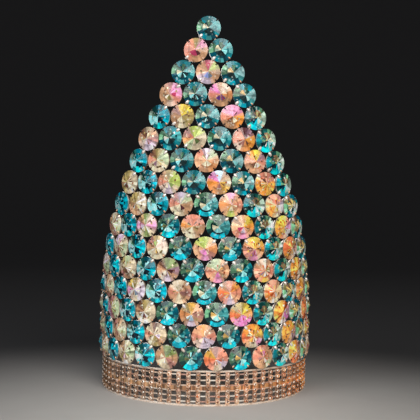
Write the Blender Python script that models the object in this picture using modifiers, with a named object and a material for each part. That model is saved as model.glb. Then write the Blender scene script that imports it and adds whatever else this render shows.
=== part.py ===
# Pageant tiara: a tall pointed wall of round set stones that stands on a pierced ladder band.
# Metres, +Z up. The front faces -Y, the open back faces +Y, and the band's rail rests on z = 0.

import math

import bmesh
import bpy
from mathutils import Matrix, Vector

# The set stone: a cup that holds a girdle, under a faceted front that ends in a small table.
STONE_SIDES = 12
STONE_RADIUS = 0.0079  # centre to a flat side
TABLE_RADIUS = 0.0009
CROWN_HEIGHT = 0.0018
GIRDLE_HEIGHT = 0.0010
CUP_DEPTH = 0.0038
CUP_FLOOR_RADIUS = 0.0056

# The wall: each row has one stone more than the row above it.
ROWS = 16
WALL_RADIUS = 0.0756  # from the upright axis to the middle of the girdles
ROW_GAP = 0.0006  # between the stones of one row, along the arc
SOLDER_LENGTH = 0.00076  # between the stones of one falling diagonal

# The band that the wall stands on.
BAND_HEIGHT = 0.0234
BAND_SETBACK = 0.0006  # the front of the columns lies this far behind the middle of the girdles
BAND_THICKNESS = 0.0020
RAIL_HEIGHT = 0.0012
STRAP_HEIGHT = 0.0042
COLUMN_WIDTH = 0.0030
CELL_WIDTH = 0.0036
SEAT_GAP = 0.0003  # the lowest stones sit this far above the rail

# Worked out from the sizes above. Angles are in radians, from the front towards the wearer's left.
BAND_RADIUS = WALL_RADIUS - BAND_SETBACK  # to the front of the columns
STONE_PITCH = 2 * STONE_RADIUS + ROW_GAP
DIAGONAL_PITCH = 2 * STONE_RADIUS + SOLDER_LENGTH
ROW_PITCH = math.sqrt(DIAGONAL_PITCH**2 - (STONE_PITCH / 2) ** 2)
STONE_ANGLE = STONE_PITCH / WALL_RADIUS
LOWEST_ROW_Z = BAND_HEIGHT + SEAT_GAP + STONE_RADIUS
BAND_HALF_ANGLE = ROWS * STONE_ANGLE / 2
CELL_COUNT = round((2 * BAND_HALF_ANGLE * BAND_RADIUS - COLUMN_WIDTH) / (COLUMN_WIDTH + CELL_WIDTH))
FRONT_REACH = WALL_RADIUS + GIRDLE_HEIGHT / 2 + CROWN_HEIGHT
BACK_REACH = -BAND_RADIUS * math.cos(BAND_HALF_ANGLE)
AXIS_Y = (FRONT_REACH - BACK_REACH) / 2  # puts the origin under the middle of the whole tiara


def make_material(name, colour, roughness, metallic):
    material = bpy.data.materials.new(name)
    material.use_nodes = True
    shader = material.node_tree.nodes["Principled BSDF"]
    shader.inputs["Base Color"].default_value = (*colour, 1)
    shader.inputs["Roughness"].default_value = roughness
    shader.inputs["Metallic"].default_value = metallic
    return material


def add_object(name, mesh, material, collection):
    made = bpy.data.objects.new(name, mesh)
    made.data.materials.append(material)
    collection.objects.link(made)
    return made


def make_set_stone():
    """One stone in its cup, facing local +Z with its girdle's middle at the origin."""
    rings = [
        (CUP_FLOOR_RADIUS, -GIRDLE_HEIGHT / 2 - CUP_DEPTH),
        (STONE_RADIUS, -GIRDLE_HEIGHT / 2),
        (STONE_RADIUS, GIRDLE_HEIGHT / 2),
        (TABLE_RADIUS, GIRDLE_HEIGHT / 2 + CROWN_HEIGHT),
    ]
    half_side = math.pi / STONE_SIDES
    corner = 1 / math.cos(half_side)
    bm = bmesh.new()
    points = [bm.verts.new((radius * corner, 0, height)) for radius, height in rings]
    profile = [bm.edges.new(pair) for pair in zip(points, points[1:])]
    bmesh.ops.spin(bm, geom=points + profile, axis=(0, 0, 1), angle=math.tau, steps=STONE_SIDES, use_merge=True)
    bmesh.ops.holes_fill(bm, edges=[edge for edge in bm.edges if edge.is_boundary])
    bmesh.ops.rotate(bm, verts=bm.verts, matrix=Matrix.Rotation(half_side, 3, "Z"))
    bmesh.ops.recalc_face_normals(bm, faces=bm.faces)
    mesh = bpy.data.meshes.new("set_stone")
    bm.to_mesh(mesh)
    bm.free()
    return mesh


def on_wall(angle, height):
    """The place of a stone: local +Z points out of the wall and local +Y points up."""
    outward = Vector((math.sin(angle), -math.cos(angle), 0))
    upward = Vector((0, 0, 1))
    turn = Matrix((upward.cross(outward), upward, outward)).transposed().to_4x4()
    return Matrix.Translation(outward * WALL_RADIUS + upward * height) @ turn


def add_solder(bm, stone, next_stone, centre, next_centre):
    """Joins two neighbours through the girdle sides that face each other."""
    middle = (centre + next_centre) / 2
    facing = []
    for faces in (stone, next_stone):
        standing = [face for face in faces if face.is_valid]
        facing.append(min(standing, key=lambda face: (face.calc_center_median() - middle).length))
    rims = [edge for face in facing for edge in face.edges]
    bmesh.ops.delete(bm, geom=facing, context="FACES_ONLY")
    bmesh.ops.bridge_loops(bm, edges=rims)


def make_string(name, diagonal, set_stone):
    """The falling diagonal that lies this many stones in from the right end of each row."""
    bm = bmesh.new()
    stones = []
    centres = []
    for row in range(diagonal + 1, ROWS + 1):
        place = on_wall(((row - 1) / 2 - diagonal) * STONE_ANGLE, LOWEST_ROW_Z + (ROWS - row) * ROW_PITCH)
        first_vert = len(bm.verts)
        first_face = len(bm.faces)
        bm.from_mesh(set_stone)
        bmesh.ops.transform(bm, matrix=place, verts=bm.verts[first_vert:])
        stones.append(bm.faces[first_face:])
        centres.append(place.translation)
    for index in range(len(stones) - 1):
        add_solder(bm, stones[index], stones[index + 1], centres[index], centres[index + 1])
    mesh = bpy.data.meshes.new(name)
    bm.to_mesh(mesh)
    bm.free()
    return mesh


def make_band():
    """The ladder band: a grid bent round the axis, with its cells cut through above and below the strap."""
    column_angle = COLUMN_WIDTH / BAND_RADIUS
    column_pitch = (2 * BAND_HALF_ANGLE - column_angle) / CELL_COUNT
    angles = []
    for column in range(CELL_COUNT + 1):
        left = column * column_pitch - BAND_HALF_ANGLE
        angles += [left, left + column_angle]
    middle = BAND_HEIGHT / 2
    heights = [
        0,
        RAIL_HEIGHT,
        middle - STRAP_HEIGHT / 2,
        middle + STRAP_HEIGHT / 2,
        BAND_HEIGHT - RAIL_HEIGHT,
        BAND_HEIGHT,
    ]
    open_steps_up = (1, 3)  # between the rails and the strap
    steps_round = len(angles) - 1
    steps_up = len(heights) - 1
    bm = bmesh.new()
    bmesh.ops.create_grid(bm, x_segments=steps_round, y_segments=steps_up, size=1)
    cells = []
    for face in bm.faces:
        across, up, _ = face.calc_center_median()
        step_round = int((across + 1) / 2 * steps_round)
        step_up = int((up + 1) / 2 * steps_up)
        if step_round % 2 == 1 and step_up in open_steps_up:
            cells.append(face)
    for vert in bm.verts:
        angle = angles[round((vert.co.x + 1) / 2 * steps_round)]
        height = heights[round((vert.co.y + 1) / 2 * steps_up)]
        vert.co = (BAND_RADIUS * math.sin(angle), -BAND_RADIUS * math.cos(angle), height)
    bmesh.ops.delete(bm, geom=cells, context="FACES")
    mesh = bpy.data.meshes.new("base_band")
    bm.to_mesh(mesh)
    bm.free()
    return mesh


for old in list(bpy.data.objects):
    bpy.data.objects.remove(old)

tiara = bpy.data.collections.new("pageant_tiara")
bpy.context.scene.collection.children.link(tiara)

upright_axis = bpy.data.objects.new("upright_axis", None)
upright_axis.location.y = AXIS_Y
tiara.objects.link(upright_axis)

aqua_glass = make_material("aqua_glass", (0.06, 0.36, 0.38), 0.08, 0)
rose_glass = make_material("rose_glass", (0.80, 0.52, 0.38), 0.08, 0)
rose_gold = make_material("rose_gold", (0.78, 0.56, 0.45), 0.25, 1)

set_stone = make_set_stone()
for diagonal in range(ROWS):
    colour = "rose" if diagonal % 2 else "aqua"
    name = f"{colour}_string_{diagonal // 2 + 1:02d}"
    glass = rose_glass if diagonal % 2 else aqua_glass
    string = add_object(name, make_string(name, diagonal, set_stone), glass, tiara)
    string.parent = upright_axis

band = add_object("base_band", make_band(), rose_gold, tiara)
band.parent = upright_axis
thickness = band.modifiers.new("thickness", "SOLIDIFY")
thickness.thickness = BAND_THICKNESS
thickness.offset = -1
thickness.use_even_offset = True
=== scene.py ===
import math
import random

import bmesh
import bpy
from mathutils import Matrix, Vector


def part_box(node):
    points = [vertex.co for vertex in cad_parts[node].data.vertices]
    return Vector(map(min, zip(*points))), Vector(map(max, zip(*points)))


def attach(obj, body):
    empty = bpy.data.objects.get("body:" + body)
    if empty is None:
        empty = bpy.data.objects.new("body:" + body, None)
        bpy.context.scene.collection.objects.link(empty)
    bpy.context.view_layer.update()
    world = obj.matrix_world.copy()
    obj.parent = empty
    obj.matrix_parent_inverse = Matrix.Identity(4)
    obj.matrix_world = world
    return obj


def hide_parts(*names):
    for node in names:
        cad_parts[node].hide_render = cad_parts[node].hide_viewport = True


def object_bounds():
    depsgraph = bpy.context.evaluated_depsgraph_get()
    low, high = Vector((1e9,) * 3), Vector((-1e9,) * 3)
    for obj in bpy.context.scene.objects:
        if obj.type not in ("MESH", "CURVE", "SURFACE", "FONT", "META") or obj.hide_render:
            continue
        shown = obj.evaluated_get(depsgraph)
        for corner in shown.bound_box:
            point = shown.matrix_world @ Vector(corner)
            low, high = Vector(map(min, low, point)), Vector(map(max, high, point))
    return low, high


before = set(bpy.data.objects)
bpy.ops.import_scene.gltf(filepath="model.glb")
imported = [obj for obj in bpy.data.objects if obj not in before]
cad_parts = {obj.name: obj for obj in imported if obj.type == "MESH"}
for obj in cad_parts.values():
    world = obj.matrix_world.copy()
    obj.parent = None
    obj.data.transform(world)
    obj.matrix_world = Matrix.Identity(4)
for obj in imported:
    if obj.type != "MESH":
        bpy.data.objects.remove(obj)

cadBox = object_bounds()
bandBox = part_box("base_band")
print("frame loaded:", len(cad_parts), "nodes")

# The wall of stones. Every place on it is worked out from these, in metres.
wall = {
    "rows": 16,
    "upperRows": 8,  # rows 1 to 8 catch the light in another way than the ones below
    "radius": 0.0756,  # upright axis to the middle of the girdles
    "stoneRadius": 0.0079,
    "rowGap": 0.0006,
    "solderGap": 0.00076,
    "seatGap": 0.0003,  # lowest stones above the band
    "girdleHeight": 0.0010,
    "crownHeight": 0.0018,
    "placeJitter": 0.00010,
    "tiltJitter": 1.6,  # degrees
    "seed": 11,
}
stonePitch = 2 * wall["stoneRadius"] + wall["rowGap"]
diagonalPitch = 2 * wall["stoneRadius"] + wall["solderGap"]
rowPitch = math.sqrt(diagonalPitch**2 - (stonePitch / 2) ** 2)
stoneAngle = stonePitch / wall["radius"]
lowestRow = bandBox[1].z + wall["seatGap"] + wall["stoneRadius"]
halfAngle = wall["rows"] * stoneAngle / 2
axisY = cadBox[0].y + wall["radius"] + wall["girdleHeight"] / 2 + wall["crownHeight"]


# a place on the wall: its local +Z points outwards, +Y up and +X to the viewer's right
def onWall(angle, height, radius=wall["radius"]):
    outward = Vector((math.sin(angle), -math.cos(angle), 0))
    upward = Vector((0, 0, 1))
    turn = Matrix((upward.cross(outward), upward, outward)).transposed().to_4x4()
    return Matrix.Translation(outward * radius + Vector((0, axisY, height))) @ turn


screenGamma = 2.2


def linear(shade):  # a screen colour of 0 to 255 as light
    return tuple((part / 255) ** screenGamma for part in shade)


noiseSpan = (0.35, 0.7)  # where most of a noise texture's values lie


def startFinish(name):
    finish = bpy.data.materials.new(name)
    finish.use_nodes = True
    tree = finish.node_tree
    return finish, tree, tree.nodes["Principled BSDF"]


def setSockets(tree, node, sockets):  # each gets a value, or a link from another node
    for name, value in sockets.items():
        if isinstance(value, bpy.types.NodeSocket):
            tree.links.new(value, node.inputs[name])
        else:
            node.inputs[name].default_value = value


def addNode(tree, kind, sockets, **settings):
    node = tree.nodes.new(kind)
    for name, value in settings.items():
        setattr(node, name, value)
    setSockets(tree, node, sockets)
    return node


# a value that runs from low to high as the input does from start to end
def ramp(tree, value, start, end, low, high):
    spans = {"Value": value, "From Min": start, "From Max": end, "To Min": low, "To Max": high}
    return addNode(tree, "ShaderNodeMapRange", spans, clamp=True).outputs["Result"]


def mixColour(tree, blend, share, first, second):
    sockets = {0: share, 6: first, 7: second}
    return addNode(tree, "ShaderNodeMix", sockets, data_type="RGBA", blend_type=blend).outputs[2]


crystalLook = {
    "innerFacets": 6.5,  # small reflections across one stone
    "innerContrast": 0.32,
    "highlightFlecks": 17.0,
    "highlightStrength": 0.6,
    "highlightSpan": (0.95, 0.97),  # the higher, the rarer
    "highlightShade": (196, 214, 208),
    "smears": 9.0,
    "roughness": (0.12, 0.24),
    "gloss": 0.4,
    "coat": 0.1,
    "coatRoughness": 0.03,
}


def makeCrystalFinish(name, look):
    finish, tree, shader = startFinish(name)
    painted = addNode(tree, "ShaderNodeAttribute", {}, attribute_name="facetColour")
    face = addNode(tree, "ShaderNodeUVMap", {}, uv_map="stoneFace")
    # the cut's reflections of itself: small flat patches, some lighter and some darker
    patches = addNode(
        tree, "ShaderNodeTexVoronoi", {"Vector": face.outputs["UV"], "Scale": look["innerFacets"]},
        voronoi_dimensions="2D", distance="MANHATTAN",
    )
    patchTone = addNode(tree, "ShaderNodeSeparateColor", {"Color": patches.outputs["Color"]})
    contrast = look["innerContrast"]
    depth = ramp(tree, patchTone.outputs["Red"], 0, 1, 1 - contrast, 1 + contrast)
    deepened = addNode(
        tree, "ShaderNodeVectorMath", {0: painted.outputs["Color"], "Scale": depth}, operation="SCALE",
    )
    # painted highlights: a few bright specks on each stone
    sparks = addNode(
        tree, "ShaderNodeTexVoronoi", {"Vector": face.outputs["UV"], "Scale": look["highlightFlecks"]},
        voronoi_dimensions="2D",
    )
    sparkTone = addNode(tree, "ShaderNodeSeparateColor", {"Color": sparks.outputs["Color"]})
    spark = ramp(tree, sparkTone.outputs["Green"], *look["highlightSpan"], 0, look["highlightStrength"])
    lit = mixColour(tree, "SCREEN", spark, deepened.outputs["Vector"], (*linear(look["highlightShade"]), 1))
    smears = addNode(
        tree, "ShaderNodeTexNoise", {"Vector": face.outputs["UV"], "Scale": look["smears"], "Detail": 3},
    )
    polish = ramp(tree, smears.outputs["Fac"], *noiseSpan, *look["roughness"])
    setSockets(tree, shader, {
        "Base Color": lit,
        "Roughness": polish,
        "Specular IOR Level": look["gloss"],
        "Coat Weight": look["coat"],
        "Coat Roughness": look["coatRoughness"],
    })
    return finish


metalLook = {
    "bright": (255, 250, 244),
    "warm": (244, 224, 208),
    "tarnish": (104, 70, 54),
    "metallic": 0.35,
    "roughness": (0.22, 0.42),
    "grain": 900,  # pits to the metre
    "pitDepth": 0.0001,
    "pitStrength": 0.15,
    "tarnishScale": 260,
    "warmSpan": (0.40, 0.62),  # parts of the cloud that turn warm
    "tarnishSpan": (0.60, 0.72),  # and that tarnish
    "tarnishShare": 0.6,
}


def makeMetalFinish(name, look):
    finish, tree, shader = startFinish(name)
    place = addNode(tree, "ShaderNodeTexCoord", {}).outputs["Object"]
    cloud = addNode(tree, "ShaderNodeTexNoise", {"Vector": place, "Scale": look["tarnishScale"], "Detail": 4})
    pits = addNode(tree, "ShaderNodeTexNoise", {"Vector": place, "Scale": look["grain"], "Detail": 2})
    warmth = ramp(tree, cloud.outputs["Fac"], *look["warmSpan"], 0, 1)
    plating = mixColour(tree, "MIX", warmth, (*linear(look["bright"]), 1), (*linear(look["warm"]), 1))
    dullness = ramp(tree, cloud.outputs["Fac"], *look["tarnishSpan"], 0, look["tarnishShare"])
    aged = mixColour(tree, "MIX", dullness, plating, (*linear(look["tarnish"]), 1))
    # metalTone holds each part's own tone, and on the claws, rungs, cups and strap also painted highlights
    # and painted shade
    tonesAndPaintedLight = addNode(tree, "ShaderNodeAttribute", {}, attribute_name="metalTone")
    relief = addNode(tree, "ShaderNodeBump", {
        "Strength": look["pitStrength"],
        "Distance": look["pitDepth"],
        "Height": pits.outputs["Fac"],
    })
    setSockets(tree, shader, {
        "Base Color": mixColour(tree, "MULTIPLY", 1.0, aged, tonesAndPaintedLight.outputs["Color"]),
        "Roughness": ramp(tree, pits.outputs["Fac"], *noiseSpan, *look["roughness"]),
        "Normal": relief.outputs["Normal"],
        "Metallic": look["metallic"],
    })
    return finish


aquaFinish = makeCrystalFinish("aquaCrystal", crystalLook)
roseLook = dict(crystalLook, innerContrast=0.26, highlightStrength=0.5, highlightShade=(232, 220, 204))
roseFinish = makeCrystalFinish("roseCrystal", roseLook)
settingFinish = makeMetalFinish("settingMetal", metalLook)
print("finishes made")


# a profile of radii and heights, spun round an upright axis
def spinProfile(profile, steps, closed=False):
    bm = bmesh.new()
    points = [bm.verts.new((radius, 0, height)) for radius, height in profile]
    ends = points[1:] + points[:1] if closed else points[1:]
    edges = [bm.edges.new(pair) for pair in zip(points, ends)]
    bmesh.ops.spin(bm, geom=points + edges, axis=(0, 0, 1), angle=math.tau, steps=steps, use_merge=True)
    return bm


def closeUp(bm):
    bmesh.ops.holes_fill(bm, edges=[edge for edge in bm.edges if edge.is_boundary])
    bmesh.ops.recalc_face_normals(bm, faces=bm.faces)


def toMesh(name, bm):
    mesh = bpy.data.meshes.new(name)
    bm.to_mesh(mesh)
    bm.free()
    return mesh


# puts a stone's faces in the same order each run: its two ends, and then side by side clockwise
def orderFaces(bm, sides):
    def place(face):
        centre = face.calc_center_median()
        depth = 100 * centre.z  # far less than one side's step
        if centre.xy.length < 0.00001:
            return depth
        compass = math.degrees(math.atan2(centre.x, centre.y)) % 360
        return 1 + int(compass / 360 * sides) + depth

    bm.faces.sort(key=place)


# One crystal: a round stone cut to a point in front and behind

crystalCut = {
    "facets": 12,
    "girdleRadius": 0.0079,
    "girdleLow": -0.0005,
    "girdleHigh": 0.00035,
    "zones": (0.0053, 0.0041, 0.00125),  # rings where the reflections change
    "pointRadius": 0.00025,
    "pointHeight": wall["girdleHeight"] / 2 + wall["crownHeight"] - 0.00002,
    "backDepth": 0.0039,
}


def makeCrystal(cut):
    slope = (cut["pointHeight"] - cut["girdleHigh"]) / (cut["girdleRadius"] - cut["pointRadius"])
    rings = [(cut["pointRadius"], -cut["backDepth"])]
    rings += [(cut["girdleRadius"], cut["girdleLow"]), (cut["girdleRadius"], cut["girdleHigh"])]
    for radius in (*cut["zones"], cut["pointRadius"]):
        rings.append((radius, cut["pointHeight"] - slope * (radius - cut["pointRadius"])))
    steps = 2 * cut["facets"]
    bm = spinProfile(rings, steps)
    # every second spoke is let down onto the flat of its main facet
    step = math.tau / steps
    between = [vert for vert in bm.verts if round(math.atan2(vert.co.y, vert.co.x) / step) % 2]
    inner = [vert for vert in between if vert.co.xy.length < cut["girdleRadius"] * 0.99]  # the girdle stays
    bmesh.ops.scale(bm, vec=(math.cos(step), math.cos(step), 1), verts=inner)
    closeUp(bm)
    orderFaces(bm, steps)
    return toMesh("crystal", bm)


# The reflections in the aqua stones. A pattern has a line for each zone from the rim inwards, of twelve
# words clockwise from the top, and which one a stone has depends on its place on the wall.
aquaColours = {
    "shades": {
        "moss": (74, 114, 88), "pine": (22, 62, 60), "slate": (38, 58, 60),
        "fog": (160, 186, 168), "teal": (24, 120, 130), "sea": (78, 162, 164),
        "deep": (0, 78, 94), "navy": (4, 34, 46), "flash": (16, 208, 232),
        "ice": (156, 244, 246), "mint": (122, 186, 142), "cream": (244, 230, 190),
        "gold": (208, 168, 98), "khaki": (128, 124, 84), "umber": (112, 84, 64),
        "pale": (142, 190, 192), "lagoon": (8, 150, 170), "foil": (150, 156, 150),
    },
    "patterns": {
        "high": (
            "teal teal sea sea teal deep sea lagoon deep mint moss teal",
            "moss teal sea teal teal deep deep teal deep moss moss teal",
            "moss pine sea sea teal slate slate slate teal fog moss pine",
            "moss pine fog sea slate slate slate slate cream cream moss pine",
        ),
        "highRight": (
            "teal teal pale pale sea deep lagoon sea deep moss mint teal",
            "moss teal pale pale sea deep deep teal deep moss moss teal",
            "moss pine pale pale ice slate slate slate teal khaki moss pine",
            "moss pine fog pale slate slate slate slate gold gold moss pine",
        ),
        "crescent": (
            "moss pine sea sea teal flash flash flash pine mint mint moss",
            "moss pine teal sea sea deep navy deep pine pine moss pine",
            "pine moss sea sea sea ice ice ice cream cream pine moss",
            "pine moss sea ice ice ice ice cream cream gold pine moss",
        ),
        "low": (
            "pine moss teal deep teal flash flash flash pine moss moss pine",
            "moss pine sea deep deep flash flash flash pine moss pine moss",
            "khaki pine teal sea pine ice ice deep moss khaki moss pine",
            "moss pine fog sea sea ice ice ice cream khaki pine pine",
        ),
        "left": (
            "deep teal lagoon lagoon lagoon teal flash teal ice ice fog pine",
            "pine deep lagoon lagoon lagoon navy flash ice ice fog moss pine",
            "deep teal teal lagoon navy navy navy ice ice ice moss pine",
            "teal sea sea teal navy navy sea ice ice sea moss deep",
        ),
        "farLeft": (
            "deep teal lagoon lagoon lagoon deep lagoon teal ice ice teal deep",
            "pine deep lagoon teal lagoon navy teal sea ice sea deep pine",
            "deep lagoon teal lagoon navy navy sea ice ice teal teal deep",
            "teal sea lagoon teal navy deep sea ice ice teal deep deep",
        ),
        "right": (
            "pine moss fog fog fog sea flash flash pine teal teal pine",
            "umber khaki fog fog sea ice flash teal navy teal moss pine",
            "khaki umber khaki fog ice ice flash navy navy moss pine umber",
            "khaki umber fog ice ice ice navy navy navy gold khaki umber",
        ),
        "farRight": (
            "deep deep teal fog fog ice teal deep mint mint khaki umber",
            "khaki pine gold khaki ice ice navy teal khaki mint gold umber",
            "gold khaki cream cream ice navy pine umber khaki khaki gold umber",
            "gold cream cream cream navy navy umber khaki khaki gold gold khaki",
        ),
    },
    # painted reflections: spots near the middle of a stone, as a compass direction and how far it turns right
    # of the middle
    "wedge": (180, 28),
    "wedgeSpread": 40,
    "wedgeEdge": 78,  # a bright facet beside the wedge
    "upperGlow": (288, 25),
    "crescentGlow": 270,
    "lowShine": (180, -22),
    "lowSpots": ((285, "gold"), (135, "ice")),
    "crescentRows": (9, 10, 13, 14),
    "sideFrom": 2,  # stones from the middle at which the side patterns start
    "farSideFrom": 4,
    "uneven": 0.20,  # how much its facets differ
    "softness": 0,  # how far one colour runs into the next
    "arcTone": 0.70,
    "lift": (0.96, 0.28, 0.55),  # painted light: brightness in front, and what far left and far right add to it
    "glints": ("ice navy", "cream pine"),  # left, right
    "glintRarity": (0.98, 0.84),  # in front, aslant
}
# The rose stones are each charted from the photo, as (row, diagonal): eight words clockwise
# from the top, and then spots near the middle with the way that each one lies from it.
# each stone's words are its own colours with painted reflections of the light in them, which change across
# the wall
roseColours = {
    "shades": {
        "shell": (244, 214, 194), "peach": (240, 178, 138), "apricot": (234, 154, 98),
        "orange": (238, 150, 70), "coral": (238, 120, 76), "salmon": (226, 144, 120),
        "rust": (184, 82, 40), "pink": (240, 156, 196), "orchid": (232, 132, 196),
        "raspberry": (172, 62, 92), "rosewood": (168, 116, 108), "mauve": (160, 126, 140),
        "violet": (104, 66, 140), "plum": (84, 48, 52), "lilac": (206, 190, 208),
        "blue": (134, 150, 208), "sky": (176, 210, 232), "slate": (104, 118, 132),
        "mint": (182, 200, 158), "lime": (184, 202, 104), "leaf": (134, 154, 92),
        "moss": (86, 104, 62), "yellow": (242, 208, 84), "gold": (226, 174, 86),
        "khaki": (160, 142, 90), "cream": (250, 232, 196), "beige": (206, 188, 158),
        "tan": (186, 142, 108), "cocoa": (112, 76, 60), "foil": (178, 166, 146),
    },
    "uneven": 0.14,
    "softness": 0.4,
    "arcTone": 0.62,
    "lift": (1.03, 0.30, 0.42),
    "glints": ("cream cocoa khaki", "cream cocoa rust gold"),
    "glintRarity": (0.93, 0.70),
    "default": "tan beige mint tan rosewood tan rosewood beige",
    "stones": {
        (2, 1): "khaki pink tan tan tan salmon salmon salmon, 140 plum, 190 raspberry, 230 raspberry",
        (3, 1): "raspberry lime tan tan lilac lilac peach tan, 205 blue, 150 slate",
        (4, 3): "rosewood pink pink salmon shell tan tan tan, 100 raspberry, 190 khaki, 230 shell",
        (4, 1): "tan shell apricot tan tan tan salmon orchid, 155 violet, 205 violet",
        (5, 3): "yellow yellow khaki khaki cream tan tan rosewood, 130 khaki, 215 cream",
        (5, 1): "pink pink orange orange tan tan salmon pink, 225 cocoa, 185 tan, 145 cream",
        (6, 5): "beige tan rosewood lilac lilac shell tan cocoa, 130 mauve, 230 shell, 320 cocoa",
        (6, 3): "lime lime beige beige beige mint apricot rosewood, 140 moss, 215 mint, 290 rust",
        (6, 1): "plum mauve orange orange apricot shell salmon salmon, 215 rosewood",
        (7, 5): "khaki mint mint beige cream cream salmon cocoa, 215 mauve, 160 beige",
        (7, 3): "lilac mint peach apricot tan peach peach salmon, 150 cream, 210 cream",
        (7, 1): "yellow mauve salmon salmon peach tan salmon orange, 215 cocoa, 150 cream",
        (8, 7): "khaki beige beige cream beige khaki tan khaki, 205 plum, 150 cream",
        (8, 5): "khaki lime lime beige lilac shell salmon tan, 135 leaf, 220 shell",
        (8, 3): "sky tan cream gold tan apricot orange orchid, 180 rosewood, 110 gold",
        (8, 1): "salmon rosewood orange gold orange orange orange salmon, 230 khaki, 160 gold",
        (9, 7): "khaki beige cream cream tan peach tan khaki, 220 cream, 130 beige",
        (9, 5): "lilac mint tan tan cream cream salmon rosewood, 150 plum, 215 cream",
        (9, 3): "pink peach salmon peach lime peach apricot peach, 180 cream, 140 tan",
        (9, 1): "salmon rosewood lilac shell peach orange apricot salmon, 130 shell, 240 orange",
        (10, 9): "beige beige mint mint rosewood tan rosewood tan, 130 mint",
        (10, 7): "leaf shell pink beige leaf cream pink tan, 185 leaf, 130 shell, 250 lilac",
        (10, 5): "salmon salmon tan tan cream cream orange salmon, 120 khaki, 200 cream",
        (10, 3): "peach yellow orange peach pink salmon peach tan, 180 lilac, 240 raspberry",
        (10, 1): "yellow salmon pink shell salmon orange orange yellow, 130 lilac, 250 orange",
        (11, 9): "pink beige mint mint tan beige beige lilac, 200 rosewood, 130 mint",
        (11, 7): "khaki shell shell cream beige cream tan rosewood, 170 gold, 230 cream, 340 leaf",
        (11, 5): "lime peach apricot rosewood pink peach peach lime, 180 orchid, 225 pink",
        (11, 3): "yellow gold orange peach pink rosewood salmon orange, 180 orchid, 240 rosewood",
        (11, 1): "coral khaki rosewood shell tan orange coral coral, 140 shell, 250 coral",
        (12, 11): "beige lilac mint mint rosewood rosewood rosewood mauve",
        (12, 9): "mint beige beige beige tan rosewood beige khaki, 200 cocoa, 130 shell",
        (12, 7): "leaf leaf mauve tan lilac shell peach cocoa, 115 plum, 205 shell",
        (12, 5): "mint peach peach tan pink peach salmon mint, 180 orchid, 15 leaf",
        (12, 3): "shell tan salmon salmon orange salmon salmon tan, 220 mauve, 150 shell, 60 khaki",
        (12, 1): "orange tan khaki shell tan orange orange orange, 140 cream, 270 yellow",
        (13, 9): "khaki shell lilac lilac cream shell pink gold, 160 slate, 230 shell, 330 leaf",
        (13, 7): "beige tan rosewood tan cream peach salmon beige, 115 rosewood, 190 cream",
        (13, 5): "salmon orange salmon peach lilac salmon coral tan, 180 lilac, 225 orange",
        (13, 3): "salmon tan peach peach cream orange coral salmon, 150 shell, 220 rust",
        (13, 1): "orange tan rosewood tan rosewood orange coral orange, 130 shell, 250 orange",
        (14, 11): "rosewood mint mint mint rosewood pink pink rosewood, 130 leaf",
        (14, 9): "khaki beige beige beige shell cream tan cocoa, 185 plum, 240 cream, 130 shell",
        (14, 7): "gold peach rosewood tan lilac tan apricot khaki, 180 sky, 210 sky",
        (14, 5): "khaki yellow apricot orchid orchid pink coral khaki, 150 orchid, 250 coral",
        (14, 3): "gold rust mauve orchid shell orange orange gold, 130 orchid, 230 rust",
        (14, 1): "coral tan rosewood rust rust coral coral coral",
        (15, 11): "tan beige mint beige tan peach peach rosewood, 200 rosewood, 330 shell",
        (15, 9): "cocoa beige beige tan khaki cream salmon beige, 170 khaki, 220 cream, 100 lilac",
        (15, 7): "apricot tan salmon lilac lilac shell salmon peach, 165 lilac, 125 lilac",
        (15, 5): "orange orange gold pink cream tan coral orange, 290 khaki, 130 shell, 200 orange",
        (15, 3): "orange orange rosewood mauve tan orange orange orange, 150 shell, 270 gold",
        (15, 1): "salmon salmon rosewood rosewood rosewood gold gold salmon",
        (16, 11): "beige mint mint beige shell khaki beige tan, 120 leaf, 190 pink",
        (16, 9): "leaf leaf tan rosewood beige cream tan tan, 115 rosewood, 205 cream, 265 salmon",
        (16, 7): "rosewood salmon salmon lilac beige salmon coral gold, 190 shell, 130 lilac",
        (16, 5): "salmon tan tan mint tan tan salmon salmon, 255 rosewood, 140 shell, 10 pink",
        (16, 3): "orange rosewood tan rust coral coral orange gold, 180 pink, 330 orange",
    },
}


# an aqua stone's pattern and spots, by its row and by how many stones it lies right of the middle
def readAqua(row, across):
    chart = aquaColours
    lean = max(-1, min(1, across))

    def swung(name):
        middle, turn = chart[name]
        return middle + turn * lean

    if abs(across) >= chart["farSideFrom"]:
        name, spots = "farLeft" if across < 0 else "farRight", []
    elif abs(across) >= chart["sideFrom"]:
        name, spots = "left" if across < 0 else "right", []
    elif row <= wall["upperRows"]:
        name = "highRight" if across >= 1 else "high"
        wedge = swung("wedge")
        spots = [(wedge + turn, "slate") for turn in (-chart["wedgeSpread"], 0, chart["wedgeSpread"])]
        spots.append((swung("upperGlow"), "gold" if across >= 1 else "cream"))
        if lean:
            spots.append((wedge - math.copysign(chart["wedgeEdge"], lean), "ice"))
    elif abs(across) <= 0.5 and row in chart["crescentRows"]:
        name = "crescent"
        spots = [(chart["crescentGlow"], "gold" if row == chart["crescentRows"][-1] else "cream")]
    else:
        name = "low"
        spots = [(swung("lowShine"), "ice")]
        if across > 0:
            spots += chart["lowSpots"]
    return chart["patterns"][name], spots


def readRose(row, diagonal):
    words, *notes = roseColours["stones"].get((row, diagonal), roseColours["default"]).split(", ")
    spots = [(float(note.split()[0]), note.split()[1]) for note in notes]
    return [words] * 4, spots


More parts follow.
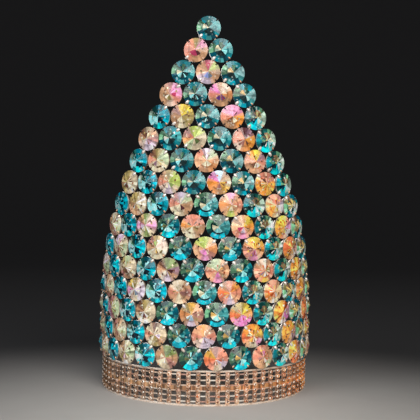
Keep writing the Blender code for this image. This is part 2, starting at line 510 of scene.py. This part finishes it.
# How a stone of either colour is painted. Directions are in degrees, clockwise from the top.
facetPaint = {
    "sectors": 24,
    "drift": 7,  # how far the whole pattern may be turned
    "frontStones": 1,  # this close to the middle a stone is seen from in front
    "turnStones": 2,  # and this much further out aslant
    "asideUneven": 1.3,  # what that adds to the differences between facets
    "spotZone": 2,  # spots are painted from this zone inwards
    "spotReach": 22,  # either side of a spot's middle
    "arcZone": 1,  # the zone with a dimmer arc in it, a painted reflection
    "arcMiddle": (90, 270),
    "arcReach": 70,
    "fade": 0.14,  # painted light: a facet is lighter at one end by up to this
    "brightest": 0.98,
    "patternStep": 1.37,  # between the small reflections of one stone and the next
}


def apart(first, second):  # degrees between two directions
    return abs((first - second + 180) % 360 - 180)


# where a corner lies on its stone's face, with a patch of its own in the pattern for each stone
def faceUv(corner, radius, spot):
    step = facetPaint["patternStep"]
    return corner.x / (2 * radius) + step * spot[0], corner.y / (2 * radius) + step * spot[1]


# gives each facet of a stone its colour, the stone's own with painted reflections and painted shade, before
# the stone is put in its place
def paintCrystal(faces, layers, colours, pattern, spots, spotUv, across, dice):
    paint = facetPaint
    shades = {name: linear(shade) for name, shade in colours["shades"].items()}
    chart = [line.split() for line in pattern]
    drift = dice.uniform(-paint["drift"], paint["drift"])
    aside = min(1, max(0, abs(across) - paint["frontStones"]) / paint["turnStones"])
    uneven = colours["uneven"] * (1 + paint["asideUneven"] * aside)
    # painted light: stones aslant are made brighter
    lift = colours["lift"][0] + colours["lift"][2 if across > 0 else 1] * aside
    inFront, aslant = colours["glintRarity"]
    rarity = inFront + (aslant - inFront) * aside
    glints = colours["glints"][across > 0].split()
    arcAt = dice.uniform(*paint["arcMiddle"])
    sectorWidth = 360 / paint["sectors"]
    tones = [math.exp(dice.gauss(0, uneven)) for _ in range(paint["sectors"])]
    for face in faces:
        centre = face.calc_center_median()
        reach = centre.xy.length
        compass = math.degrees(math.atan2(centre.x, centre.y)) % 360
        zone, off = -1, 0
        if centre.z < crystalCut["girdleHigh"]:
            word = beside = "foil"
        else:
            zone = sum(reach < edge for edge in crystalCut["zones"])
            words = chart[zone]
            turned = (compass + drift) * len(words) / 360
            word = words[round(turned) % len(words)]
            off = turned - round(turned)
            beside = words[round(turned + math.copysign(1, off)) % len(words)]
            if zone >= paint["spotZone"]:
                for at, spotWord in spots:
                    if apart(compass, at) < paint["spotReach"]:
                        word = beside = spotWord
            if zone > 0 and dice.random() > rarity:
                word = beside = dice.choice(glints)
        sector = int(compass / sectorWidth) % paint["sectors"]
        tone = lift * tones[sector] * math.exp(dice.gauss(0, uneven / 2))
        # a painted reflection: a dimmer arc across one zone
        if zone == paint["arcZone"] and apart(compass, arcAt) < paint["arcReach"]:
            tone *= colours["arcTone"]
        blend = colours["softness"] * 4 * off**2  # off is at most a half
        shade = [tone * (own + (other - own) * blend) for own, other in zip(shades[word], shades[beside])]
        # painted light: each facet a little lighter at one end
        fade = dice.uniform(-paint["fade"], paint["fade"])
        for loop in face.loops:
            local = 1 + fade * (1 if loop.vert.co.xy.length > reach else -1)
            loop[layers["colour"]] = (*(min(paint["brightest"], part * local) for part in shade), 1)
            loop[layers["face"]].uv = faceUv(loop.vert.co, crystalCut["girdleRadius"], spotUv)


# One setting: a cup behind the stone, with an open back and four claws

setting = {
    "steps": 20,
    "lipWidth": 0.0004,
    "lipHeights": (-0.0006, -0.0008, -0.0012),  # its outer top edge, inner top edge and lower edge
    "cupDepth": 0.0038,
    "shoulder": (0.0008, 0.5),  # how far in from the rim, and how far down the cup
    "cupFloorRadius": 0.0056,
    "cupFloorThickness": 0.0006,
    "holeRadius": 0.0033,
    "twist": 3,  # times as far as a stone is tilted
    "claws": (45, 135, 225, 315),  # clockwise from the top
    "sideClawsFrom": 1.5,  # stones from the middle
    "shadedShare": {"aqua": 0.15, "rose": 0.6},  # claws painted in shade whatever the lists below say
    "clawTones": {  # painted highlight or painted shade, and size
        "white": ((1.0, 1.0, 1.0), 1.5),
        "peach": ((0.84, 0.54, 0.38), 0.85),
        "dull": ((0.05, 0.03, 0.03), 0.70),
    },
    # how the four claws catch the light in the left, middle and right of the upper and the lower rows
    "upperClaws": ("white peach dull dull", "dull peach white dull", "dull peach white white"),
    "lowerClaws": ("white peach peach dull", "white dull dull white", "dull peach peach white"),
    "wallTone": (0.22, 0.16, 0.13),  # near the stone, where it hardly catches the light
    "wallDown": 0.55,  # how far down the cup that tone reaches
    "backTone": (0.95, 0.80, 0.68),
    "clawSize": (0.0014, 0.0024, 0.0011),  # wide, long, thick
    "clawReach": 0.0073,
    "clawHeight": 0.00080,
    "clawDroop": 190,  # how much its ends curl down
}


def makeSetting(shape):
    outer = wall["stoneRadius"]
    lipTop, lipInside, lipBottom = shape["lipHeights"]
    back = -wall["girdleHeight"] / 2 - shape["cupDepth"]
    shoulderIn, shoulderDown = shape["shoulder"]
    profile = [
        (outer, lipTop),
        (outer - shape["lipWidth"], lipInside),
        (shape["holeRadius"], back + shape["cupFloorThickness"]),
        (shape["holeRadius"], back),
        (shape["cupFloorRadius"], back),
        (outer - shoulderIn, back * shoulderDown),
        (outer, lipBottom),
    ]
    bm = spinProfile(profile, shape["steps"], closed=True)
    bmesh.ops.recalc_face_normals(bm, faces=bm.faces)
    toned = bm.loops.layers.float_color.new("metalTone")
    for face in bm.faces:
        high = face.calc_center_median().z > back * shape["wallDown"]
        tone = shape["wallTone"] if high else shape["backTone"]
        for loop in face.loops:
            loop[toned] = (*tone, 1)
    return toMesh("setting", bm)


def makeClaw(shape):
    bm = bmesh.new()
    bmesh.ops.create_uvsphere(bm, u_segments=8, v_segments=6, radius=0.5)
    bmesh.ops.scale(bm, vec=shape["clawSize"], verts=bm.verts)
    for vert in bm.verts:
        vert.co.z -= shape["clawDroop"] * vert.co.y**2
    return toMesh("claw", bm)


solder = {
    "size": (0.0022, 0.0015, 0.0011),  # long, wide, thick
    "setback": 0.0005,
    "tone": (0.55, 0.45, 0.38),
}


def makeSolder(bead):
    bm = bmesh.new()
    bmesh.ops.create_uvsphere(bm, u_segments=6, v_segments=4, radius=0.5)
    bmesh.ops.scale(bm, vec=bead["size"], verts=bm.verts)
    return toMesh("solder", bm)


# one more of a small part, placed and toned, unless it has tones of its own in metalTone
def addCopy(bm, mesh, place, tone=None):
    copied = mesh.copy()
    copied.transform(place)
    if tone:
        toned = copied.color_attributes.new("metalTone", "FLOAT_COLOR", "CORNER")
        for corner in toned.data:
            corner.color = (*tone, 1)
    bm.from_mesh(copied)
    bpy.data.meshes.remove(copied)


# a bead of solder between two places on the wall
def addSolder(bm, angle, height, nextAngle, nextHeight):
    middle = onWall((angle + nextAngle) / 2, (height + nextHeight) / 2, wall["radius"] - solder["setback"])
    lean = math.atan2(nextHeight - height, (nextAngle - angle) * wall["radius"])
    addCopy(bm, solderMesh, middle @ Matrix.Rotation(lean, 4, "Z"), solder["tone"])


def addObject(name, data):
    made = bpy.data.objects.new(name, data)
    bpy.context.scene.collection.objects.link(made)
    return made


def addPiece(name, bm, finish, replaced=()):
    mesh = toMesh(name, bm)
    mesh.materials.append(finish)
    piece = addObject(name, mesh)
    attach(piece, "root")
    for node in replaced:
        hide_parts(node)


# The strings of stones

crystalMesh = makeCrystal(crystalCut)
settingMesh = makeSetting(setting)
clawMesh = makeClaw(setting)
solderMesh = makeSolder(solder)
print("crystal, setting, claw and solder made")


def paintLayers(bm):
    return {
        "colour": bm.loops.layers.float_color.new("facetColour"),
        "face": bm.loops.layers.uv.new("stoneFace"),
    }


# where a stone stands, a little out of true, and the small angle by which its setting is twisted
def placeStone(row, angle, height, dice):
    slip = [dice.uniform(-1, 1) * wall["placeJitter"] for _ in range(2)]
    *tilt, twist = [math.radians(dice.uniform(-1, 1) * wall["tiltJitter"]) for _ in range(3)]
    if row == 1 or abs(angle) > math.pi / 2 - stoneAngle:  # the stones that give the wall its outline
        slip = (0, 0)
        tilt = (0, 0)
    place = onWall(angle + slip[0] / wall["radius"], height + slip[1])
    for axis, amount in zip("XY", tilt):
        place = place @ Matrix.Rotation(amount, 4, axis)
    return place, setting["twist"] * twist


def addClaws(bm, seat, row, across, colour, dice):
    lists = setting["upperClaws"] if row <= wall["upperRows"] else setting["lowerClaws"]
    side = setting["sideClawsFrom"]
    words = lists[0 if across <= -side else 2 if across >= side else 1].split()
    # each claw gets a painted highlight (white, peach) or painted shade, by where its stone stands
    for compass, word in zip(setting["claws"], words):
        if dice.random() < setting["shadedShare"][colour]:
            word = "dull"
        tone, size = setting["clawTones"][word]
        reach = Matrix.Translation((0, setting["clawReach"], setting["clawHeight"]))
        turn = Matrix.Rotation(-math.radians(compass), 4, "Z")
        addCopy(bm, clawMesh, seat @ turn @ reach @ Matrix.Scale(size, 4), tone)


# the stones of one falling diagonal as one piece, and their settings and solder as another
def makeString(diagonal):
    isRose = diagonal % 2 == 1
    colour = "rose" if isRose else "aqua"
    number = f"{diagonal // 2 + 1:02d}"
    dice = random.Random(wall["seed"] + diagonal)
    crystals = bmesh.new()
    layers = paintLayers(crystals)
    settings = bmesh.new()
    for row in range(diagonal + 1, wall["rows"] + 1):
        across = (row - 1) / 2 - diagonal
        angle = across * stoneAngle
        height = lowestRow + (wall["rows"] - row) * rowPitch
        place, twist = placeStone(row, angle, height, dice)

        firstVert, firstFace = len(crystals.verts), len(crystals.faces)
        crystals.from_mesh(crystalMesh)
        fresh = crystals.verts[firstVert:]
        turn = Matrix.Rotation(dice.uniform(0, math.tau), 3, "Z")
        bmesh.ops.rotate(crystals, verts=fresh, matrix=turn)
        pattern, spots = readRose(row, diagonal) if isRose else readAqua(row, across)
        colours = roseColours if isRose else aquaColours
        faces = crystals.faces[firstFace:]
        paintCrystal(faces, layers, colours, pattern, spots, (diagonal, row), across, dice)
        bmesh.ops.transform(crystals, matrix=place, verts=fresh)

        seat = place @ Matrix.Rotation(twist, 4, "Z")
        addCopy(settings, settingMesh, seat)
        addClaws(settings, seat, row, across, colour, dice)
        if diagonal > 0:
            addSolder(settings, angle, height, angle + stoneAngle, height)
        if row < wall["rows"]:
            addSolder(settings, angle, height, angle + stoneAngle / 2, height - rowPitch)
            addSolder(settings, angle, height, angle - stoneAngle / 2, height - rowPitch)
    finish = roseFinish if isRose else aquaFinish
    addPiece(f"{colour}Crystals{number}", crystals, finish, (f"{colour}_string_{number}",))
    addPiece(f"{colour}Settings{number}", settings, settingFinish)


for diagonal in range(wall["rows"]):
    makeString(diagonal)
print("strings made")


# The ladder band: rails and rungs bent round the axis, behind columns of small set stones

band = {
    "frontRadius": wall["radius"] - 0.0006,
    "backRadius": wall["radius"] - 0.0026,
    "columns": 40,
    "columnWidth": 0.0032,
    "levels": 6,  # small stones in a column, with a rung behind each
    "lowestLevel": 0.00295,
    "levelPitch": 0.0035,
    "railSize": (0.0012, 0.0011),  # high, deep
    "railSetback": 0.0008,
    "railSides": 8,
    "railTone": (1.0, 0.93, 0.85),
    "rungSize": (0.0009, 0.0008),
    "rungSides": 6,
    "rungSetback": 0.0015,
    "rungTones": ((1.0, 0.98, 0.93), (0.96, 0.84, 0.74), (0.74, 0.50, 0.44), (0.46, 0.32, 0.26)),
    "rungShares": (5, 5, 3, 1),
    "rungFade": 0.5,  # how much darker at the band's ends
    "stripSize": (0.0028, 0.0006),  # wide, deep
    "stripTone": (0.70, 0.52, 0.42),
    "stripFade": 0.6,
    "strapSize": (0.0046, 0.0004),
    "strapSides": 8,
    "strapSetback": 0.0014,
    "strapShine": (0.3, 1.9),
    "strapTones": ((178, 112, 84), (194, 164, 128), (160, 120, 92), (220, 160, 108), (240, 136, 66)),
    "arcSteps": 156,
    "strapSteps": 273,
    "seatTwist": 0.12,  # radians
    "smallSides": 8,
    "cupRadius": 0.00158,
    "cupFoot": 0.00130,
    "cupDepth": 0.0017,
    "cupLip": 0.00028,
    "cupSetback": 0.0003,
    "cupTones": ((0.88, 0.70, 0.57), (0.44, 0.29, 0.18), (0.98, 0.43, 0.16)),  # middle, left end, right end
    "cupTonesFrom": 2 / 3,  # of the way to an end, where its tone is reached
    "cupShine": (0.25, 1.3),
    "prongs": 4,
    "prongLength": 1.6,  # times its width
    "prongSize": 0.00042,
    "prongReach": 0.00152,
    "stoneRadius": 0.00122,
    "stoneTable": 0.00050,
    "stoneHeight": 0.00055,
    "seed": 5,
}
columnAngle = band["columnWidth"] / band["frontRadius"]
columnPitch = (2 * halfAngle - columnAngle) / (band["columns"] - 1)
levelHeights = [band["lowestLevel"] + level * band["levelPitch"] for level in range(band["levels"])]


# a bar bent along the band, with a rounded section of that height and depth
def addArc(bm, size, radius, height, sides, steps):
    ring = bmesh.ops.create_circle(bm, segments=sides, radius=0.5)["verts"]
    bmesh.ops.rotate(bm, verts=ring, matrix=Matrix.Rotation(math.pi / sides, 3, "Z"))
    corner = 1 / math.cos(math.pi / sides)
    bmesh.ops.scale(bm, vec=(size[0] * corner, size[1] * corner, 1), verts=ring)
    # its section stands at the band's left end: local x along the height, local y outwards
    upright = Matrix(((0, 0, 1), (0, -1, 0), (1, 0, 0))).to_4x4()
    start = Matrix.Translation((0, axisY, height)) @ Matrix.Rotation(-halfAngle, 4, "Z")
    bmesh.ops.transform(bm, matrix=start @ Matrix.Translation((0, -radius, 0)) @ upright, verts=ring)
    edges = [bm.edges.get(pair) for pair in zip(ring, ring[1:] + ring[:1])]
    bmesh.ops.spin(
        bm, geom=ring + edges, cent=(0, axisY, 0), axis=(0, 0, 1), angle=2 * halfAngle, steps=steps,
    )


def makeSmallStone(shape):
    bm = bmesh.new()
    bmesh.ops.create_cone(
        bm, cap_ends=True, segments=shape["smallSides"], radius1=shape["stoneRadius"],
        radius2=shape["stoneTable"], depth=shape["stoneHeight"],
    )
    orderFaces(bm, shape["smallSides"])
    return toMesh("smallStone", bm)


def makeSmallCup(shape):
    bm = bmesh.new()
    bmesh.ops.create_cone(
        bm, cap_ends=True, segments=shape["smallSides"], radius1=shape["cupFoot"],
        radius2=shape["cupRadius"], depth=shape["cupDepth"],
    )
    top = max(bm.faces, key=lambda face: face.calc_center_median().z)
    bmesh.ops.inset_region(bm, faces=[top], thickness=shape["cupLip"], depth=0)
    bmesh.ops.translate(bm, vec=(0, 0, -shape["cupLip"]), verts=top.verts)
    for corner in range(shape["prongs"]):
        prong = bmesh.ops.create_cube(bm, size=shape["prongSize"])["verts"]
        bmesh.ops.scale(bm, vec=(1, shape["prongLength"], 1), verts=prong)
        reach = shape["prongReach"] - shape["prongSize"] / 2
        bmesh.ops.translate(bm, vec=(0, reach, shape["cupDepth"] / 2), verts=prong)
        turn = Matrix.Rotation(math.tau * (corner + 0.5) / shape["prongs"], 3, "Z")
        bmesh.ops.rotate(bm, verts=prong, matrix=turn)
    return toMesh("smallCup", bm)


# the two rails and the rungs between them, and the layer that holds the metal's tones
def addRails(metal, shape, dice):
    railHigh, railDeep = shape["railSize"]
    railRadius = shape["frontRadius"] - shape["railSetback"] - railDeep / 2
    for height in (railHigh / 2, bandBox[1].z - railHigh / 2):
        addArc(metal, shape["railSize"], railRadius, height, shape["railSides"], shape["arcSteps"])
    rungRadius = shape["frontRadius"] - shape["rungSetback"]
    for height in levelHeights:
        addArc(metal, shape["rungSize"], rungRadius, height, shape["rungSides"], shape["arcSteps"])
    closeUp(metal)
    toned = metal.loops.layers.float_color.new("metalTone")
    rungTones = [
        dice.choices(shape["rungTones"], weights=shape["rungShares"], k=shape["columns"])
        for _ in levelHeights
    ]
    for face in metal.faces:
        place = face.calc_center_median()
        angle = math.atan2(place.x, axisY - place.y)
        level = round((place.z - shape["lowestLevel"]) / shape["levelPitch"])
        tone = shape["railTone"]
        if 0 <= level < len(levelHeights):  # a rung shines differently in every gap between two columns
            gap = int((angle + halfAngle - columnAngle / 2) / columnPitch)
            fade = 1 - shape["rungFade"] * abs(angle) / halfAngle
            tone = [part * fade for part in rungTones[level][gap]]
        for loop in face.loops:
            loop[toned] = (*tone, 1)
    return toned


# the flat strip behind one column
def addStrip(metal, shape, angle, toned):
    strip = bmesh.ops.create_cube(metal, size=1)["verts"]
    wide, deep = shape["stripSize"]
    top = bandBox[1].z
    bmesh.ops.scale(metal, vec=(wide, top - shape["railSize"][0], deep), verts=strip)
    place = onWall(angle, top / 2, shape["backRadius"] + deep / 2)
    bmesh.ops.transform(metal, matrix=place, verts=strip)
    fade = 1 - shape["stripFade"] * abs(angle) / halfAngle
    for vert in strip:
        for loop in vert.link_loops:
            loop[toned] = (*(part * fade for part in shape["stripTone"]), 1)


# painted light: from the cups' own tone in the middle, the band turns darker towards the viewer's left end
# and orange towards the right end as the light falls, with a painted shine of random strength
def cupTone(shape, angle, dice):
    middle, leftEnd, rightEnd = map(Vector, shape["cupTones"])
    share = min(1, abs(angle) / halfAngle / shape["cupTonesFrom"])
    tone = middle.lerp(leftEnd if angle < 0 else rightEnd, share)
    shine = dice.uniform(*shape["cupShine"])
    return [min(facetPaint["brightest"], part * shine) for part in tone]


def makeBand(shape):
    dice = random.Random(shape["seed"])
    metal = bmesh.new()
    toned = addRails(metal, shape, dice)
    stones = bmesh.new()
    layers = paintLayers(stones)
    cupMesh = makeSmallCup(shape)
    stoneMesh = makeSmallStone(shape)
    seatRadius = shape["frontRadius"] - shape["cupSetback"] - shape["cupDepth"] / 2
    lift = Matrix.Translation((0, 0, shape["cupDepth"] / 2 + shape["stoneHeight"] / 2 - shape["cupLip"]))
    for column in range(shape["columns"]):
        angle = (column - (shape["columns"] - 1) / 2) * columnPitch
        addStrip(metal, shape, angle, toned)
        for level, height in enumerate(levelHeights):
            twist = dice.uniform(-shape["seatTwist"], shape["seatTwist"])
            seat = onWall(angle, height, seatRadius) @ Matrix.Rotation(twist, 4, "Z")
            addCopy(metal, cupMesh, seat, cupTone(shape, angle, dice))
            firstVert, firstFace = len(stones.verts), len(stones.faces)
            stones.from_mesh(stoneMesh)
            paintSmallStone(stones.faces[firstFace:], layers, (column, level), dice)
            bmesh.ops.transform(stones, matrix=seat @ lift, verts=stones.verts[firstVert:])
    addPiece("bandFrame", metal, bandFinish, ("base_band",))
    addPiece("bandStones", stones, roseFinish)
    makeStrap(shape, dice)


def makeStrap(shape, dice):
    strap = bmesh.new()
    middle = (levelHeights[0] + levelHeights[-1]) / 2
    radius = shape["frontRadius"] - shape["strapSetback"]
    addArc(strap, shape["strapSize"], radius, middle, shape["strapSides"], shape["strapSteps"])
    closeUp(strap)
    # its own tones, turning with painted warm light from reddish brown at the viewer's left, through sand and
    # brown, to orange at the right, in even bars of painted shine
    toned = strap.loops.layers.float_color.new("metalTone")
    tones = [Vector(linear(tone)) for tone in shape["strapTones"]]
    shine = [dice.uniform(*shape["strapShine"]) for _ in range(shape["strapSteps"])]
    for face in strap.faces:
        place = face.calc_center_median()
        along = (math.atan2(place.x, axisY - place.y) / halfAngle + 1) / 2
        step = along * (len(tones) - 1)
        low = min(int(step), len(tones) - 2)
        tone = tones[low].lerp(tones[low + 1], step - low)
        tone *= shine[min(int(along * len(shine)), len(shine) - 1)]
        for loop in face.loops:
            loop[toned] = (*(min(facetPaint["brightest"], part) for part in tone), 1)
    addPiece("bandStrap", strap, strapFinish)


# The band's small stones. Some facets carry a painted glow, in honey or ember, and more of them towards the
# right end; some carry a painted highlight (spark).
smallStones = {
    "shades": {
        "champagne": (222, 188, 160), "blush": (204, 156, 136), "honey": (170, 114, 70),
        "ember": (206, 104, 48), "bark": (84, 50, 38), "spark": (255, 246, 232),
    },
    "emberShare": (-0.9, 2),  # at the viewer's left end, and what the right end adds
    "tableShares": {"bark": 6, "honey": 2, "glow": 5, "blush": 3},
    "sideShares": {"champagne": 5, "glow": 4, "blush": 3, "bark": 1},
    "endBark": 5,  # what the band's ends add to bark
    "sparkShare": (0.2, 0.6),  # painted highlights: in the middle, and what the ends add on their front side
    "uneven": 0.15,
}


def paintSmallStone(faces, layers, spot, dice):
    look = smallStones
    table = max(faces, key=lambda face: face.calc_center_median().z)
    warmth = spot[0] / band["columns"]
    aside = abs(2 * warmth - 1)
    least, more = look["emberShare"]
    glow = "ember" if dice.random() < least + more * warmth else "honey"
    for face in faces:
        shares = dict(look["tableShares" if face is table else "sideShares"])
        shares["glow"] *= warmth
        if face is not table:
            shares["bark"] += look["endBark"] * aside
        facesFront = face.calc_center_median().x * (0.5 - warmth) > 0
        sparkling = look["sparkShare"][0] + look["sparkShare"][1] * aside * facesFront
        if face is not table and dice.random() < sparkling:
            word = "spark"
        else:
            word = dice.choices(list(shares), weights=shares.values())[0]
        word = glow if word == "glow" else word
        tone = dice.uniform(1 - look["uneven"], 1 + look["uneven"])
        shade = [part * tone for part in linear(look["shades"][word])]
        for loop in face.loops:
            loop[layers["colour"]] = (*shade, 1)
            loop[layers["face"]].uv = faceUv(loop.vert.co, band["stoneRadius"], spot)


bandFinish = makeMetalFinish("bandRoseGold", metalLook)
strapLook = dict(metalLook, tarnish=(170, 120, 90), metallic=0.2, roughness=(0.3, 0.5))
strapFinish = makeMetalFinish("strapBronze", strapLook)
makeBand(band)
print("band made")


# Floor, light and camera

studio = {
    "floorRadius": 1.3,
    "floorRings": (0.3, 0.7),
    "sweepRadius": 1.3,
    "sweepSteps": 8,
    "steps": 96,
    "wallTop": 2.6,
    "floorShade": (214, 211, 207),
    "sweepShade": (54, 54, 56),
    "lightPoolMiddle": (0, -0.12, 0),
    "fade": (0.03, 0.36),  # a painted pool of light round the piece: the paper turns darker from here to there
    "fibres": 40,
    "fibreSpan": (0.3, 0.7),
    "fibreTone": (0.98, 1.02),
    "roughness": 0.8,
    "worldShade": (236, 238, 242),
    "worldStrength": 0.04,
    "lights": {  # where each stands, its size, its power and its shade
        "keyLight": ((0.45, -1.35, 0.74), 1.10, 18.0, (255, 250, 244)),
        "fillLight": ((-1.00, -1.10, 0.68), 1.00, 8.2, (246, 249, 255)),
        "topLight": ((0.0, -0.90, 1.25), 1.00, 3.0, (255, 255, 255)),
        "backLight": ((-0.35, 1.25, 0.40), 0.70, 3.6, (255, 252, 248)),
    },
}


def makePaper(look):
    finish, tree, shader = startFinish("palePaper")
    place = addNode(tree, "ShaderNodeTexCoord", {}).outputs["Object"]
    fibres = addNode(tree, "ShaderNodeTexNoise", {"Vector": place, "Scale": look["fibres"], "Detail": 5})
    tone = ramp(tree, fibres.outputs["Fac"], *look["fibreSpan"], *look["fibreTone"])
    # a painted pool of light: pale round the piece and darker further away, which also paints shade on the
    # floor behind it
    reach = addNode(tree, "ShaderNodeVectorMath", {0: place, 1: look["lightPoolMiddle"]}, operation="DISTANCE")
    away = ramp(tree, reach.outputs["Value"], *look["fade"], 0, 1)
    away.node.interpolation_type = "SMOOTHSTEP"
    pale = (*linear(look["floorShade"]), 1)
    graded = mixColour(tree, "MIX", away, pale, (*linear(look["sweepShade"]), 1))
    shade = addNode(tree, "ShaderNodeVectorMath", {0: graded, "Scale": tone}, operation="SCALE")
    setSockets(tree, shader, {"Base Color": shade.outputs["Vector"], "Roughness": look["roughness"]})
    return finish


# a round floor that bends up into a wall
def makeFloor(look):
    corner = look["floorRadius"]
    bend = look["sweepRadius"]
    profile = [(radius, 0) for radius in (0, *look["floorRings"], corner)]
    for step in range(1, look["sweepSteps"] + 1):
        angle = math.pi / 2 * step / look["sweepSteps"]
        profile.append((corner + bend * math.sin(angle), bend * (1 - math.cos(angle))))
    profile.append((corner + bend, look["wallTop"]))
    bm = spinProfile(profile, look["steps"])
    bmesh.ops.remove_doubles(bm, verts=bm.verts, dist=0.0001)
    bmesh.ops.recalc_face_normals(bm, faces=bm.faces)
    if min(bm.faces, key=lambda face: face.calc_center_median().length).normal.z < 0:
        bmesh.ops.reverse_faces(bm, faces=bm.faces)
    mesh = toMesh("studioFloor", bm)
    mesh.shade_smooth()
    mesh.materials.append(makePaper(look))
    floor = addObject("studioFloor", mesh)
    return floor


def makeStudio(look):
    floor = makeFloor(look)
    world = bpy.data.worlds.new("softRoom")
    world.use_nodes = True
    sky = world.node_tree.nodes["Background"]
    sky.inputs["Color"].default_value = (*linear(look["worldShade"]), 1)
    sky.inputs["Strength"].default_value = look["worldStrength"]
    bpy.context.scene.world = world

    # the back light leaves the floor alone, so that the gaps between the stones stay dark from the front
    spared = bpy.data.collections.new("sparedFloor")
    spared.objects.link(floor)
    spared.collection_objects[0].light_linking.link_state = "EXCLUDE"

    target = Vector((0, 0, cadBox[1].z / 2))
    for name, (place, size, power, shade) in look["lights"].items():
        lamp = bpy.data.lights.new(name, "AREA")
        lamp.shape = "DISK"
        lamp.size = size
        lamp.energy = power
        lamp.color = linear(shade)
        held = addObject(name, lamp)
        held.location = place
        held.visible_camera = False
        if name == "backLight":
            held.light_linking.receiver_collection = spared
        held.rotation_euler = (target - held.location).to_track_quat("-Z", "Y").to_euler()


camera = {
    "lens": 70.3,
    "sensor": 36,
    "clipStart": 0.01,
    "place": (0.0027, axisY - 0.611, 0.1287),
    "roll": 0.93,  # degrees
}


def makeCamera(shape):
    eye = bpy.data.cameras.new("photoView")
    eye.lens = shape["lens"]
    eye.sensor_width = shape["sensor"]
    eye.clip_start = shape["clipStart"]
    held = addObject("photoView", eye)
    held.matrix_world = (
        Matrix.Translation(shape["place"])
        @ Matrix.Rotation(math.pi / 2, 4, "X")
        @ Matrix.Rotation(math.radians(shape["roll"]), 4, "Z")
    )
    bpy.context.scene.camera = held


makeStudio(studio)
makeCamera(camera)
bpy.context.scene.view_settings.view_transform = "Standard"
print("studio made")
